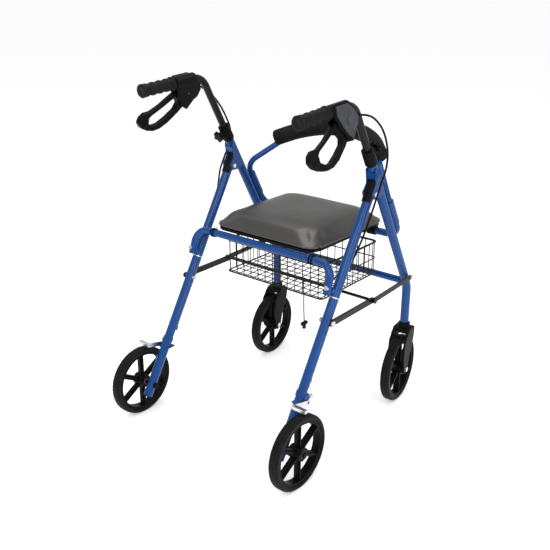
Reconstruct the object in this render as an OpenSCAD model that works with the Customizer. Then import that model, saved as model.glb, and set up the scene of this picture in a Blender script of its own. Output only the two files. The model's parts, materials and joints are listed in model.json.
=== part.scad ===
// Four-wheeled folding walker with a seat, a wire basket and loop brakes.
// +X is forward, +Y is the user's left, +Z is up. Lengths are in millimetres and angles in degrees.

/* [Frame] */
// Distance from the rear axle to the caster axle
wheelbase = 508; // [500:1:516]
// Distance of each leg's plane from the middle of the walker
leg_y = 230; // [226:1:234]
// Outer diameter of the leg tubes
leg_d = 24; // [24:1:25]
// Wall of every steel tube
wall = 1.5; // [1.2:0.1:1.6]
// Lean of the front legs from the vertical
front_lean = 29; // [28.8:0.1:29.2]
// Lean of the rear legs from the vertical
rear_lean = 31; // [30.8:0.1:31.2]
// Height of the fold pivot
pivot_z = 641; // [640:1:642]
// Outer diameter of the seat bars
bar_d = 19; // [18:1:19]

/* [Wheels] */
// Diameter of all four wheels
wheel_d = 190; // [188:1:191]
// Width of the tyres
tyre_w = 26; // [24:1:26]
// Distance of each rear wheel's middle plane from the middle of the walker
rear_wheel_y = 271.5; // [271:0.5:273]
// How far each caster's axle trails behind its stem
trail = 29; // [28:1:30]
// How far each caster is turned at rest, left and right
caster_turn = [4, 8]; // [0:1:8]

/* [Seat] */
// Height of the seat bars' axes
seat_bar_z = 494; // [493:1:495]
// Depth of the seat, front to back
seat_depth = 340; // [330:1:342]
// Width of the seat
seat_w = 350; // [340:1:352]
// Thickness of the cushion
cushion_h = 36; // [34:1:40]

/* [Handles] */
// Height where the handle tube's two straights would meet
handle_top_z = 880; // [876:1:884]
// Outer diameter of the handle tubes
handle_d = 19; // [19:0.5:19.5]
// How far the brake housings are rolled outwards about the grips
brake_roll = 18; // [16:1:20]
// How far each handle is raised from its middle setting, left and right
handle_set = [10, -17]; // [-30:1:30]

/* [Hidden] */
$fn = 48;

BLUE = [0.02, 0.16, 0.55];
BLACK = [0.06, 0.06, 0.06];
GREY = [0.3, 0.3, 0.32];
ZINC = [0.75, 0.76, 0.78];

// Main places, all in the side view of a leg
wheel_r = wheel_d / 2;
axle_z = wheel_r;
rear_axle_x = -wheelbase / 2;
caster_axle_x = wheelbase / 2;
stem_x = caster_axle_x + trail;
bend_z = 337;
leg_top_z = 727;
leg_bottom_z = 228;
leg_bend_r = 70;
leg_bore = leg_d - 2 * wall;
function front_x(z) = stem_x - (z - bend_z) * tan(front_lean);
function rear_x(z) = rear_axle_x + (z - axle_z) * tan(rear_lean);
pivot_x = rear_x(pivot_z);
// Unit vectors: down the front leg, square to it and forward, up the rear leg, square to it and back
front_down = [sin(front_lean), 0, -cos(front_lean)];
front_out = [cos(front_lean), 0, sin(front_lean)];
rear_up = [sin(rear_lean), 0, cos(rear_lean)];
rear_out = [-cos(rear_lean), 0, sin(rear_lean)];
function on_front(z, y) = [front_x(z), y, z];
function on_rear(z, y) = [rear_x(z), y, z];

// Running clearance on a radius, and how far a welded piece reaches into the tube that it joins
run = 0.05;
weld = 1;

// Backrest sockets, in front of the legs
socket_off = 24.5;
socket_d = 23;
hoop_d = 16;
socket_low_z = 524;
socket_split_z = 552;
socket_top_z = 590;
function on_socket(z, y) = on_front(z, y) + socket_off * front_out;
seat_bar_leg_z = seat_bar_z - socket_off * sin(front_lean);
front_bar = on_socket(seat_bar_leg_z, 0);
front_bar_x = front_bar.x;
rear_bar_x = -64;
rear_bar_end = [-88, 224, 428];
bar_bend_r = 37;

// Side stays, on the outer side of the legs
rear_stay_bolt = on_rear(361, 0);
elbow = [82, 0, 362];
front_stay_bolt = on_front(370, 0);
rear_stay_y = 243.5;
rear_stay_t = 4.5;
front_stay_y = 248.5;
front_stay_t = 3.5;
rod_d = 8;
bolt_d = 8;

// Handles
collar_low_z = 716;
collar_h = 40;
handle_low_z = 640;
handle_corner = [front_x(handle_top_z), 0, handle_top_z];
grip_end = [-222, 0, handle_top_z - 14];
handle_bend_r = 45;
grip_d = 28.5;
grip_len = 100;
housing_t = 30;
lever_pivot = [-72, 0, -30];
grip_drop = atan((handle_corner.z - grip_end.z) / (handle_corner.x - grip_end.x));
grip_axis_z = handle_corner.z - handle_corner.x * tan(grip_drop);

// Wheels
rim_d = 166;
rim_lip = 8;
rim_w = 22;
hub_d = 34;
hub_w = 34;
axle_d = 8;
bush_d = 14;
spokes = 6;
spoke_w = 13;
fork_gap = 38;
fork_t = 6;

// ---------- Shapes that repeat ----------

module both_sides() {
    children();
    mirror([0, 1, 0]) children();
}

// Turns +Z to the direction v
module along(v) {
    rotate([0, acos(v.z / norm(v)), atan2(v.y, v.x)]) children();
}

// A straight ring or rod from a to b
module straight(a, b, d, t) {
    translate(a) along(b - a) difference() {
        cylinder(d = d, h = norm(b - a));
        if (t > 0) translate([0, 0, -1]) cylinder(d = d - 2 * t, h = norm(b - a) + 2);
    }
}

function unit(v) = v / norm(v);
// Length that the bend of radius r at point i takes from each straight
function cut(p, r, i) =
    i == 0 || i == len(p) - 1 ? 0
    : r * tan(acos(unit(p[i] - p[i - 1]) * unit(p[i + 1] - p[i])) / 2);

// A bent tube through the points p, with bends of radius r. t is its wall, and 0 makes it solid.
// The bends are a hair thicker than the straights, which reach a short way into them
bend_extra = 0.1;
bend_reach = 0.5;
module pipe(p, r, d, t = 0) {
    for (i = [0 : len(p) - 2]) {
        u = unit(p[i + 1] - p[i]);
        from = i == 0 ? 0 : cut(p, r, i) - bend_reach;
        to = i == len(p) - 2 ? 0 : cut(p, r, i + 1) - bend_reach;
        straight(p[i] + u * from, p[i + 1] - u * to, d, t);
    }
    for (i = [1 : len(p) - 2]) {
        u = unit(p[i] - p[i - 1]);
        v = unit(p[i + 1] - p[i]);
        n = unit(v - (u * v) * u);
        w = cross(u, n);
        c = p[i] - u * cut(p, r, i) + n * r;
        multmatrix([[-n.x, u.x, w.x, c.x], [-n.y, u.y, w.y, c.y], [-n.z, u.z, w.z, c.z], [0, 0, 0, 1]])
            rotate_extrude(angle = acos(u * v)) translate([r, 0]) difference() {
                circle(d = d + bend_extra);
                if (t > 0) circle(d = d - 2 * t - bend_extra);
            }
    }
}

// A tube of n sides along the points p, for a cable or a cord
function frame_at(p, i) =
    let (t = unit(p[min(i + 1, len(p) - 1)] - p[max(i - 1, 0)]), s = unit(cross([0.1, 1, 0.05], t)))
    [s, cross(t, s)];
module cord(p, d, n = 8) {
    m = len(p);
    rings = [for (i = [0 : m - 1]) let (f = frame_at(p, i)) for (k = [0 : n - 1])
        p[i] + d / 2 * (cos(360 * k / n) * f[0] + sin(360 * k / n) * f[1])];
    sides = [for (i = [0 : m - 2]) for (k = [0 : n - 1])
        let (a = i * n + k, b = i * n + (k + 1) % n) each [[a, b, b + n], [a, b + n, a + n]]];
    start = [for (k = [1 : n - 2]) [0, k + 1, k]];
    end = [for (k = [1 : n - 2]) (m - 1) * n * [1, 1, 1] + [0, k, k + 1]];
    polyhedron(rings, concat(start, sides, end));
}
// Points of a smooth curve through p, with k steps between each two
function catmull(a, b, c, d, t) =
    0.5 * (2 * b + (c - a) * t + (2 * a - 5 * b + 4 * c - d) * t * t + (3 * b - a - 3 * c + d) * t * t * t);
function smooth(p, k) = [
    for (i = [0 : len(p) - 2]) for (j = [0 : k - 1])
        catmull(p[max(i - 1, 0)], p[i], p[i + 1], p[min(i + 2, len(p) - 1)], j / k),
    p[len(p) - 1]];

// A round rod through the walker from y0 to y1
module cross_pin(at, y0, y1, d) {
    translate([at.x, y0, at.z]) rotate([-90, 0, 0]) cylinder(d = d, h = y1 - y0);
}
module hex(at, y0, y1, d) {
    translate([at.x, y0, at.z]) rotate([-90, 0, 0]) cylinder(d = d, h = y1 - y0, $fn = 6);
}

// ---------- Front frame ----------

module front_leg_shape() { pipe(front_leg_path, leg_bend_r, leg_d, wall); }
module front_leg_left() { color(BLUE) front_leg_shape(); }
module front_leg_right() { color(BLUE) mirror([0, 1, 0]) front_leg_shape(); }

crossbar_z = 350;
front_leg_path = [on_front(leg_top_z, leg_y), on_front(bend_z, leg_y), [stem_x, leg_y, leg_bottom_z]];
module front_crossbar() {
    at = [front_x(crossbar_z) - 2, leg_y, crossbar_z];
    color(BLUE) difference() {
        straight([at.x, -at.y, at.z], at, bar_d, wall);
        both_sides() pipe(front_leg_path, leg_bend_r, leg_d - 2 * weld);
    }
}

module front_seat_bar() {
    top = on_socket(socket_split_z, leg_y);
    corner = on_socket(seat_bar_leg_z, leg_y);
    color(BLUE) pipe([top, corner, [corner.x, -leg_y, corner.z], [top.x, -leg_y, top.z]],
        bar_bend_r, bar_d, wall);
}

module backrest_sockets() {
    color(BLUE) both_sides() difference() {
        union() {
            straight(on_socket(socket_low_z, leg_y), on_socket(socket_top_z, leg_y), socket_d, 0);
            for (z = [socket_low_z + 12, socket_top_z - 12])
                straight(on_front(z, leg_y) + (leg_d / 2 - weld) * front_out, on_socket(z, leg_y), 10, 0);
        }
        straight(on_socket(socket_low_z - 5, leg_y), on_socket(socket_split_z, leg_y), bar_d, 0);
        straight(on_socket(socket_split_z - 5, leg_y), on_socket(socket_top_z + 5, leg_y),
            hoop_d + 2 * run, 0);
    }
}

// Channel that holds the rear leg's top: two cheeks and a web against the front leg
bracket_t = 2.5;
bracket_gap = leg_d + 1;
module pivot_brackets() {
    color(BLUE) both_sides() translate([0, leg_y, 0]) {
        difference() {
            union() {
                for (s = [-1, 1]) translate([0, s * (bracket_gap + bracket_t) / 2, 0]) rotate([90, 0, 0])
                    linear_extrude(bracket_t, center = true) polygon([
                        [front_x(702) - 8, 702], [front_x(702) + 3, 702], [front_x(636) + 3, 636],
                        [pivot_x + 11, pivot_z - 13], [pivot_x - 4, pivot_z - 12],
                        [pivot_x - 10, pivot_z - 6], [pivot_x - 10, pivot_z + 5],
                        [pivot_x + 3, pivot_z + 24]]);
                // Welds along the sides of the leg
                for (s = [-1, 1]) translate(on_front(642, s * (bracket_gap / 2 - 0.7))) along(-front_down)
                    translate([-3, -0.8, 0]) cube([6, 1.6, 64]);
            }
            cross_pin([pivot_x, 0, pivot_z], -leg_d, leg_d, bolt_d);
        }
        // Web across the back of the leg
        difference() {
            translate(on_front(680, 0)) along(-front_down) translate([10, -bracket_gap / 2 - 1, 0])
                cube([4, bracket_gap + 2, 22]);
            straight(on_front(640, 0), on_front(740, 0), leg_d - 2 * weld, 0);
        }
    }
}

module bolt_through(at, y_in, y_out, d, head) {
    cross_pin(at, y_in, y_out, d);
    hex(at, y_in - 5, y_in, head);
    translate([at.x, y_out, at.z]) rotate([-90, 0, 0]) cylinder(d = head, h = 4);
}
module pivot_bolts() {
    half = bracket_gap / 2 + bracket_t;
    color(ZINC) both_sides()
        bolt_through([pivot_x, 0, pivot_z], leg_y - half, leg_y + half, bolt_d, 13);
}

knob_reach = 24;
module handle_collars() {
    low = on_front(collar_low_z, leg_y);
    top = low - collar_h * front_down;
    knob_at = low - 26 * front_down;
    color(BLACK) for (side = [-1, 1]) scale([1, side, 1]) difference() {
        union() {
            straight(low, top, leg_d + 7, 0);
            straight(knob_at, knob_at - side * (knob_reach - 2) * front_out, 15, 0);
            straight(low + 4 * front_down, low, leg_d + 3, 0);
        }
        straight(low + 9 * front_down, on_front(leg_top_z, leg_y), leg_d, 0);
        straight(low, top - 5 * front_down, handle_d + 2 * run, 0);
        straight(knob_at, knob_at - side * knob_reach * 1.2 * front_out, 6 + 2 * run, 0);
    }
}

stem_d = 12;
module stem_bushes() {
    color(GREY) both_sides() for (z = [leg_bottom_z, 276]) translate([stem_x, leg_y, z]) difference() {
        cylinder(d = leg_bore, h = 12);
        translate([0, 0, -1]) cylinder(d = stem_d + 2 * run, h = 14);
    }
}

// ---------- Rear frame ----------

rear_tail = 33;
rear_head = 18;
module rear_leg_shape() {
    low = on_rear(axle_z, leg_y) - rear_tail * rear_up;
    high = [pivot_x, leg_y, pivot_z] + rear_head * rear_up;
    difference() {
        straight(low, high, leg_d, wall);
        cross_pin([pivot_x, 0, pivot_z], leg_y - leg_d, leg_y + leg_d, bolt_d + 2 * run);
        cross_pin(rear_stay_bolt, leg_y - leg_d, leg_y + leg_d, bolt_d);
        cross_pin([rear_axle_x, 0, axle_z], leg_y - leg_d, leg_y + leg_d, axle_d);
    }
}
module rear_leg_left() { color(BLUE) rear_leg_shape(); }
module rear_leg_right() { color(BLUE) mirror([0, 1, 0]) rear_leg_shape(); }

// Plug in each end of a rear leg, with a flat head
// The upper cap is open at the sides for the cheeks and at the front for the front leg
cap_sleeve = 42;
function side_view(p, up, back) =
    [p.x + up * rear_up.x + back * rear_out.x, p.z + up * rear_up.z + back * rear_out.z];
function behind_front(z, off) = [front_x(z) - off * front_out.x, z - off * front_out.z];
module rear_leg_caps() {
    low = on_rear(axle_z, leg_y) - rear_tail * rear_up;
    high = [pivot_x, leg_y, pivot_z] + rear_head * rear_up;
    color(BLACK) both_sides() {
        straight(low - 2 * rear_up, low, leg_d, 0);
        straight(low - 0.5 * rear_up, low + 12 * rear_up, leg_bore, 0);
        difference() {
            intersection() {
                straight(high - cap_sleeve * rear_up, high + 12 * rear_up, leg_d + 5, 0);
                translate([0, leg_y, 0]) rotate([90, 0, 0])
                    linear_extrude(bracket_gap - 0.6, center = true) polygon([
                        side_view(high, -cap_sleeve, 5), side_view(high, 0, 5), side_view(high, 0, -15),
                        side_view(high, 12, -15), side_view(high, 12, 15),
                        side_view(high, -cap_sleeve, 15)]);
            }
            straight(low, high, leg_d, 0);
            translate([0, leg_y, 0]) rotate([90, 0, 0])
                linear_extrude(bracket_gap + 6, center = true) polygon([
                    behind_front(600, leg_d / 2 + 0.75), behind_front(720, leg_d / 2 + 0.75),
                    behind_front(720, -30), behind_front(600, -30)]);
        }
        straight(high - 8 * rear_up, high + 0.5 * rear_up, leg_bore, 0);
    }
}

// The saddle's axis runs from the rear leg back through the seat bar's end
saddle_leg = on_rear(424, leg_y - 4);
rear_bar_path = [rear_bar_end, [rear_bar_x, rear_bar_end.y, seat_bar_z],
    [rear_bar_x, -rear_bar_end.y, seat_bar_z], [rear_bar_end.x, -rear_bar_end.y, rear_bar_end.z]];
module rear_seat_bar() {
    color(BLUE) difference() {
        pipe(rear_bar_path, bar_bend_r, bar_d, wall);
        both_sides() straight(saddle_leg + 10 * rear_out, saddle_leg + 50 * rear_out, 6, 0);
    }
}
module bar_saddles() {
    color(BLUE) both_sides() difference() {
        straight(saddle_leg + 8 * rear_out, saddle_leg + 25 * rear_out, 17, 0);
        straight(on_rear(380, leg_y), on_rear(470, leg_y), leg_d, 0);
        straight(rear_bar_end - [6, 0, 16.5], [rear_bar_x, rear_bar_end.y, seat_bar_z], bar_d, 0);
        straight(saddle_leg, saddle_leg + 60 * rear_out, 6, 0);
    }
}

module frame_bolts() {
    color(ZINC) both_sides() {
        // Seat-bar bolt from the back of the bar to the leg, with a strap round the leg
        straight(saddle_leg + 12 * rear_out, saddle_leg + 42 * rear_out, 6, 0);
        // Its head is hollowed to sit on the round bar
        difference() {
            straight(saddle_leg + 39 * rear_out, saddle_leg + 44 * rear_out, 11, 0);
            pipe(rear_bar_path, bar_bend_r, bar_d + 0.04);
        }
        straight(on_rear(411, leg_y), on_rear(413.2, leg_y), leg_d + 2, 1);
        // Side-stay bolt
        bolt_through(rear_stay_bolt, leg_y - leg_d / 2 - 1, rear_stay_y + rear_stay_t + 0.5, bolt_d, 13);
        cross_pin(rear_stay_bolt, leg_y + leg_d / 2, rear_stay_y - 0.5, 13);
    }
}

module rear_axles() {
    at = [rear_axle_x, 0, axle_z];
    out = rear_wheel_y + hub_w / 2;
    color(ZINC) both_sides() {
        cross_pin(at, leg_y - leg_d / 2 - 2, out + 2, axle_d);
        hex(at, out + 1, out + 7, 13);
        cross_pin(at, leg_y - leg_d / 2 - 8, leg_y - leg_d / 2, 16);
    }
}

rest_d = 25.4;
module seat_rests() {
    color(BLACK) both_sides() translate([rear_bar_x, 155, seat_bar_z]) rotate([-90, 0, 0]) difference() {
        cylinder(d = rest_d, h = 26);
        translate([0, 0, -1]) cylinder(d = bar_d, h = 28);
    }
}

// Lower brake: a bent plate on the rear leg, and the cable's stop above it
arm_pivot = on_rear(187, 0) + [14, 0, 0];
stop_at = on_rear(236, leg_y) + 17 * -rear_out;
module brake_brackets() {
    plate_y = leg_y + leg_d / 2;
    color(ZINC) both_sides() {
        difference() {
            union() {
                straight(on_rear(200, leg_y), on_rear(212, leg_y), leg_d + 4, 0);
                translate([arm_pivot.x - 22, leg_y - 15, 185]) cube([30, 30, 3]);
                hex(arm_pivot, plate_y + 0.6, plate_y + 4, 20);
                translate([arm_pivot.x - 10, plate_y + 0.6, 185]) cube([18, 3.4, 22]);
            }
            straight(on_rear(150, leg_y), on_rear(250, leg_y), leg_d, 0);
            cross_pin(arm_pivot, plate_y - 3, plate_y + 8, 6);
        }
        // Cable stop
        difference() {
            union() {
                straight(stop_at - 6 * rear_up, stop_at + 6 * rear_up, 9, 0);
                straight(on_rear(236, leg_y) - 11 * rear_out, on_rear(236, leg_y) - 15 * rear_out, 8, 0);
            }
            straight(stop_at - 9 * rear_up, stop_at + 9 * rear_up, 5, 0);
        }
        cross_pin(arm_pivot, plate_y + 0.6, plate_y + 8, 6);
    }
}

// ---------- Side stays ----------

module stay(a, b, y, t, w, bore_a, bore_b) {
    len = norm(b - a);
    dir = atan2(b.z - a.z, b.x - a.x);
    translate([a.x, y + t, a.z]) rotate([90, 0, 0]) linear_extrude(t) rotate(dir) difference() {
        union() {
            circle(d = w);
            translate([0, -w / 2]) square([len, w]);
            translate([len, 0]) circle(d = w);
        }
        circle(d = bore_a);
        translate([len, 0]) circle(d = bore_b);
    }
}
module rear_stays() {
    color(BLACK) both_sides()
        stay(rear_stay_bolt, elbow, rear_stay_y, rear_stay_t, 16, bolt_d + 2 * run, rod_d);
}
module cross_rod() {
    out = front_stay_y + front_stay_t + 1;
    color(BLACK) {
        cross_pin(elbow, -out, out, rod_d);
        both_sides() cross_pin(elbow, out, out + 4, 13);
    }
}
module front_stays() {
    color(BLACK) both_sides()
        stay(elbow, front_stay_bolt, front_stay_y, front_stay_t, 13, rod_d + 2 * run, 6);
}
// The open pivot: these bolts turn with the front stays and stop short of the legs
module front_stay_bolts() {
    color(ZINC) both_sides() {
        cross_pin(front_stay_bolt, leg_y + leg_d / 2 + 1, front_stay_y + front_stay_t + 3, 6);
        cross_pin(front_stay_bolt, leg_y + leg_d / 2 + 1, front_stay_y, 12);
        cross_pin(front_stay_bolt, front_stay_y + front_stay_t, front_stay_y + front_stay_t + 4, 12);
    }
}

// Route of the hanging cord, from the cross rod to the toggle
cord_d = 3;
cord_route = [[82, -27, 359], [82, -27, 350], [82.5, -27, 335], [83, -27.5, 315], [82.5, -28, 295],
    [82, -29, 275], [82, -30, 255], [82, -31, 238]];
module pull_cord() { color(BLACK) cord(smooth(cord_route, 2), cord_d); }
module cord_toggle() {
    end = cord_route[len(cord_route) - 1];
    color(BLACK) translate(end) {
        translate([-11, -4, -8]) cube([22, 8, 8]);
        translate([-3.5, -3.5, -20]) cube([7, 7, 12]);
    }
}

// ---------- Wheels ----------

module rim_shape() {
    rotate([90, 0, 0]) {
        difference() {
            cylinder(d = rim_d, h = rim_w, center = true);
            cylinder(d = rim_d - 2 * rim_lip, h = rim_w + 2, center = true);
        }
        difference() {
            cylinder(d = hub_d, h = hub_w, center = true);
            cylinder(d = bush_d + 2 * run, h = hub_w + 2, center = true);
        }
        for (k = [0 : spokes - 1]) rotate(k * 360 / spokes + 30) {
            translate([hub_d / 2 - 2, -spoke_w / 2, -5])
                cube([(rim_d - 2 * rim_lip - hub_d) / 2 + 4, spoke_w, 10]);
            translate([hub_d / 2 - 2, -2, -9]) cube([(rim_d - 2 * rim_lip - hub_d) / 2 + 3, 4, 18]);
        }
    }
}
module tyre_shape() {
    edge = 5.5;
    rotate([90, 0, 0]) rotate_extrude() difference() {
        union() {
            translate([rim_d / 2, -tyre_w / 2 + edge]) square([wheel_r - rim_d / 2, tyre_w - 2 * edge]);
            translate([rim_d / 2, -tyre_w / 2]) square([wheel_r - edge - rim_d / 2, tyre_w]);
            for (s = [-1, 1]) translate([wheel_r - edge, s * (tyre_w / 2 - edge)]) circle(r = edge);
        }
    }
}
module at_rear(side) { translate([rear_axle_x, side * rear_wheel_y, axle_z]) children(); }
module at_caster(side) {
    turn = caster_turn[side > 0 ? 0 : 1];
    translate([stem_x, side * leg_y, 0]) rotate(turn) translate([-trail, 0, axle_z]) children();
}
module rear_left_rim() { color(BLACK) at_rear(1) rim_shape(); }
module rear_left_tyre() { color(BLACK) at_rear(1) tyre_shape(); }
module rear_right_rim() { color(BLACK) at_rear(-1) rim_shape(); }
module rear_right_tyre() { color(BLACK) at_rear(-1) tyre_shape(); }
module front_left_rim() { color(BLACK) at_caster(1) rim_shape(); }
module front_left_tyre() { color(BLACK) at_caster(1) tyre_shape(); }
module front_right_rim() { color(BLACK) at_caster(-1) rim_shape(); }
module front_right_tyre() { color(BLACK) at_caster(-1) tyre_shape(); }

// Sleeve on an axle, inside a hub
module bush_shape() {
    rotate([90, 0, 0]) difference() {
        cylinder(d = bush_d, h = hub_w, center = true);
        cylinder(d = axle_d, h = hub_w + 2, center = true);
    }
}
module wheel_bushes() { color(GREY) for (side = [-1, 1]) at_rear(side) bush_shape(); }

// ---------- Casters ----------

fork_top_z = 225;
module fork_arm_outline() {
    crown = fork_top_z - axle_z;
    polygon([[-12, -8], [-6, -14], [6, -14], [13, -7], [22, 30], [48, 88], [50, 112],
        [44, crown - 14], [trail + 16, crown - 12], [trail - 16, crown - 12],
        [trail - 30, 104], [-16, 84], [-21, 40], [-14, 6]]);
}
module fork_shape() {
    crown_z = fork_top_z - axle_z;
    inner = fork_gap / 2;
    difference() {
        union() {
            for (s = [-1, 1]) translate([0, s * (inner + fork_t / 2), 0]) rotate([90, 0, 0])
                linear_extrude(fork_t, center = true) fork_arm_outline();
            translate([trail - 24, -inner - 1, crown_z - 26]) cube([40, fork_gap + 2, 14]);
            translate([trail, 0, crown_z - 26]) cylinder(d = 38, h = 14);
            translate([trail, 0, crown_z - 14]) cylinder(d = 33, h = 14);
        }
        rotate([90, 0, 0]) cylinder(d = axle_d, h = 80, center = true);
        translate([trail, 0, crown_z - 40]) cylinder(d = stem_d, h = 60);
    }
}
module fork_left() { color(BLACK) at_caster(1) fork_shape(); }
module fork_right() { color(BLACK) at_caster(-1) fork_shape(); }

module caster_pins_shape() {
    half = fork_gap / 2 + fork_t;
    translate([trail, 0, fork_top_z - 27 - axle_z]) cylinder(d = stem_d, h = 95);
    translate([trail, 0, fork_top_z - 27 - axle_z]) cylinder(d = stem_d + 4, h = 1);
    rotate([90, 0, 0]) {
        cylinder(d = axle_d, h = 2 * half, center = true);
        for (s = [-1, 1]) translate([0, 0, s * (half + 2)]) cylinder(d = 14, h = 4, center = true);
    }
    bush_shape();
}
module caster_pins_left() { color(ZINC) at_caster(1) caster_pins_shape(); }
module caster_pins_right() { color(ZINC) at_caster(-1) caster_pins_shape(); }

// ---------- Handles ----------

handle_path = [on_front(handle_low_z, leg_y), handle_corner + [0, leg_y, 0], grip_end + [0, leg_y, 0]];
module handle_tube_shape() { color(BLACK) pipe(handle_path, handle_bend_r, handle_d, wall); }
module raised(i) { translate(-handle_set[i] * front_down) children(); }
module handle_tube_left() { raised(0) handle_tube_shape(); }
module handle_tube_right() { mirror([0, 1, 0]) raised(1) handle_tube_shape(); }

// Puts a shape drawn along the grip's axis, with its origin under the handle's corner, in its place
module on_grip() {
    translate([0, leg_y, grip_axis_z]) rotate([0, -grip_drop, 0]) children();
}
module grip_shape() {
    color(BLACK) on_grip() difference() {
        union() {
            translate([grip_end.x, 0, 0]) rotate([0, 90, 0]) cylinder(d = grip_d, h = grip_len);
            translate([grip_end.x - 2.5, 0, 0]) rotate([0, 90, 0]) cylinder(d = grip_d + 3, h = 4.5);
            for (k = [0 : 8]) translate([grip_end.x + 14 + k * 9, 0, 0]) rotate([0, 90, 0])
                cylinder(d = grip_d + 2, h = 4.5);
            translate([grip_end.x + grip_len - 6, 0, 0]) rotate([0, 90, 0]) cylinder(d = grip_d + 7, h = 6);
        }
        translate([grip_end.x - 0.6, 0, 0]) rotate([0, 90, 0]) cylinder(d = handle_d, h = grip_len + 20);
    }
}
module grip_left() { raised(0) grip_shape(); }
module grip_right() { mirror([0, 1, 0]) raised(1) grip_shape(); }

// Everything below hangs from the grip and is rolled outwards about it
module rolled() { on_grip() rotate([brake_roll, 0, 0]) children(); }

housing_outline = [[-112, 14], [-60, 14], [-36, -6], [-30, -26], [-38, -44], [-52, -52], [-72, -74],
    [-90, -62], [-106, -36], [-116, -12]];
module slab(outline, y0, y1) {
    translate([0, y1, 0]) rotate([90, 0, 0]) linear_extrude(y1 - y0) polygon(outline);
}
cable_exit = [-42, 0, -30];
exit_tilt = 80;
module brake_housing_shape() {
    cavity = [[-130, -12], [-62, -12], [-50, -16], [-42, -24], [-46, -40], [-58, -50], [-74, -66],
        [-130, -80]];
    color(BLACK) difference() {
        rolled() difference() {
            union() {
                slab(housing_outline, -housing_t / 2, housing_t / 2);
                translate([-118, 0, 0]) rotate([0, 90, 0]) cylinder(d = 32, h = 70);
                translate([-104, 0, 10]) rotate([0, 90, 0]) cylinder(d = 12, h = 14);
                translate(cable_exit) rotate([0, exit_tilt, 0]) cylinder(d = 9, h = 16);
            }
            slab(cavity, -10, 10);
            translate([lever_pivot.x, 0, lever_pivot.z]) rotate([90, 0, 0])
                cylinder(d = 6, h = 60, center = true);
            translate(cable_exit) rotate([0, exit_tilt, 0]) cylinder(d = 5, h = 30);
        }
        pipe(handle_path, handle_bend_r, handle_d);
    }
}
module brake_housing_left() { raised(0) brake_housing_shape(); }
module brake_housing_right() { mirror([0, 1, 0]) raised(1) brake_housing_shape(); }

// Outer cover with a round boss over the lever's pin
module housing_cover_shape() {
    face = housing_t / 2;
    cover = [[-106, 8], [-64, 8], [-44, -10], [-38, -27], [-45, -41], [-57, -50], [-73, -68], [-86, -58],
        [-100, -34], [-109, -12]];
    color(GREY) rolled() {
        difference() {
            slab(cover, face, face + 3);
            translate([lever_pivot.x, 0, lever_pivot.z]) rotate([90, 0, 0])
                cylinder(d = 6, h = 60, center = true);
            // Room for the barrel that clamps the handle tube
            translate([-119, 0, 0]) rotate([0, 90, 0]) cylinder(d = 32.1, h = 72);
        }
        translate([lever_pivot.x, face + 3, lever_pivot.z]) rotate([-90, 0, 0]) cylinder(d = 19, h = 2.5);
        translate([lever_pivot.x, -face, lever_pivot.z]) rotate([-90, 0, 0])
            cylinder(d = 6, h = housing_t + 3);
    }
}
module housing_cover_left() { raised(0) housing_cover_shape(); }
module housing_cover_right() { mirror([0, 1, 0]) raised(1) housing_cover_shape(); }

// Loop lever: a flat ring with a swollen end, on a hub in the housing
module brake_lever_shape() {
    outer = [[-66, -18], [-80, -18], [-100, -20], [-128, -34], [-156, -50], [-186, -62], [-206, -62],
        [-219, -70], [-224, -84], [-216, -98], [-197, -108], [-175, -114], [-153, -112], [-129, -102],
        [-96, -80], [-72, -60], [-60, -44]];
    window = [[-104, -40], [-114, -36], [-134, -46], [-159, -58], [-187, -70], [-197, -80], [-192, -92],
        [-173, -102], [-156, -100], [-131, -88], [-106, -72], [-98, -56]];
    color(BLACK) rolled() difference() {
        union() {
            difference() {
                slab(outer, -8, 8);
                slab(window, -20, 20);
            }
            translate([-207, 9, -83]) rotate([90, 0, 0]) cylinder(d = 27, h = 18);
        }
        translate([lever_pivot.x, 0, lever_pivot.z]) rotate([90, 0, 0])
            cylinder(d = 6 + 2 * run, h = 60, center = true);
        slab([[-60, -8], [-60, -60], [-20, -60], [-20, -8]], -20, 20);
    }
}
module brake_lever_left() { raised(0) brake_lever_shape(); }
module brake_lever_right() { mirror([0, 1, 0]) raised(1) brake_lever_shape(); }

// Star knob with its screw, on the back of the left collar and the front of the right one
module clamp_knob_shape(side) {
    knob_at = on_front(collar_low_z, side * leg_y) - 26 * front_down;
    color(BLACK) translate(knob_at) along(-side * front_out) {
        translate([0, 0, knob_reach]) {
            cylinder(d = 22, h = 10);
            for (k = [0 : 4]) rotate(k * 72) translate([11, 0, 0]) cylinder(d = 9, h = 10);
        }
        translate([0, 0, handle_d / 2 + 0.3]) cylinder(d = 6, h = knob_reach - handle_d / 2);
    }
}
module clamp_knob_left() { clamp_knob_shape(1); }
module clamp_knob_right() { clamp_knob_shape(-1); }

// ---------- Lower brakes and cables ----------

shoe_at = [rear_axle_x + 14, 0, axle_z + 106];
module brake_arm_shape() {
    y0 = leg_y + leg_d / 2 + 4.4;
    color(ZINC) {
        difference() {
            union() {
                stay(arm_pivot, shoe_at, y0, 3, 12, 6 + 2 * run, 1);
                stay(arm_pivot, arm_pivot + [14, 0, 12], y0, 3, 10, 6 + 2 * run, 2);
            }
            cross_pin(arm_pivot, y0 - 1, y0 + 5, 6 + 2 * run);
        }
        translate([shoe_at.x - 5, y0, shoe_at.z - 4]) cube([10, rear_wheel_y + tyre_w / 2 - y0, 8]);
    }
}
module brake_arm_left() { brake_arm_shape(); }
module brake_arm_right() { mirror([0, 1, 0]) brake_arm_shape(); }

cable_d = 5;
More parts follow.
